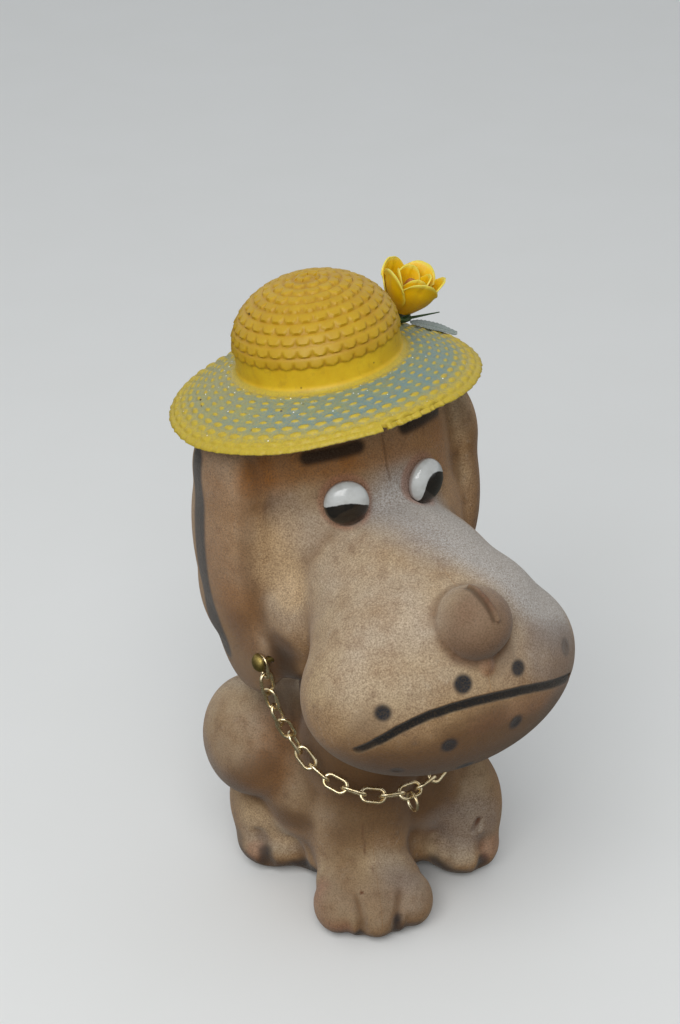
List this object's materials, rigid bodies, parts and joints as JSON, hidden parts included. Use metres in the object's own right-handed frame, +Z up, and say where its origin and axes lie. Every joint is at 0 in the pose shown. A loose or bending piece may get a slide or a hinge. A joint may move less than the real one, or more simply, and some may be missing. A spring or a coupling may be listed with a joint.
{
  "type": "dog money box",
  "caption": "Flocked sitting hound money box with a hollow body and head, a sun hat with a flower, and a chain collar.",
  "frame": {"origin": "on the plane that the dog sits on, below the middle of the whole box's outline", "axes": "+Z up, the dog's body faces -Y and its left side is +X; the head is turned to its left"},
  "size_m": [0.1297, 0.1479, 0.2358],
  "materials": {
    "flock": "short flock over moulded plastic",
    "stopper_rubber": "satin",
    "eye_plastic": "gloss",
    "old_brass": "dull aged brass",
    "gilt_wire": "pale gilt wire",
    "hat_plastic": "semi-gloss moulded plastic with sprayed colour",
    "petal_plastic": "soft gloss",
    "bud_plastic": "matte",
    "calyx_plastic": "satin",
    "leaf_fabric": "faded matte"
  },
  "bodies": {
    "body": {"body_right_half": "flock", "body_left_half": "flock"},
    "stopper": {"base_stopper": "stopper_rubber"},
    "head": {"head_left_half": "flock", "head_right_half": "flock", "right_eye": "eye_plastic", "left_eye": "eye_plastic", "right_ear_stud": "old_brass", "left_ear_stud": "old_brass", "sun_hat": "hat_plastic", "outer_petals": "petal_plastic", "inner_petals": "petal_plastic", "flower_bud": "bud_plastic", "calyx": "calyx_plastic", "hat_leaf": "leaf_fabric"},
    "chain": {"chain_link_01": "gilt_wire", "chain_link_02": "gilt_wire", "chain_link_03": "gilt_wire", "chain_link_04": "gilt_wire", "chain_link_05": "gilt_wire", "chain_link_06": "gilt_wire", "chain_link_07": "gilt_wire", "chain_link_08": "gilt_wire", "chain_link_09": "gilt_wire", "chain_link_10": "gilt_wire", "chain_link_11": "gilt_wire", "chain_link_12": "gilt_wire", "chain_link_13": "gilt_wire", "chain_link_14": "gilt_wire", "chain_link_15": "gilt_wire", "chain_link_16": "gilt_wire", "chain_link_17": "gilt_wire", "chain_link_18": "gilt_wire", "chain_link_19": "gilt_wire", "chain_link_20": "gilt_wire", "chain_link_21": "gilt_wire", "chain_link_22": "gilt_wire", "chain_link_23": "gilt_wire", "chain_link_24": "gilt_wire", "chain_link_25": "gilt_wire"},
    "ring": {"jump_ring": "gilt_wire"}
  },
  "joints": [
    {"name": "head_turn", "type": "hinge", "parent": "body", "child": "head", "pos_m": [0, 0.004, 0.097], "axis": [0, 0, 1], "range_deg": [-28, 4]},
    {"name": "stopper_pull", "type": "slide", "parent": "body", "child": "stopper", "axis": [0, 0, -1], "range_m": [0, 0.012]},
    {"name": "chain_swing", "type": "hinge", "parent": "head", "child": "chain", "pos_m": [0.00056, 0.00261, 0.111], "axis": [-0.9272, -0.3746, 0], "range_deg": [0, 25]},
    {"name": "ring_swing", "type": "hinge", "parent": "chain", "child": "ring", "pos_m": [0.01179, -0.02517, 0.05744], "axis": [-0.9272, -0.3746, 0], "range_deg": [-20, 60]}
  ]
}
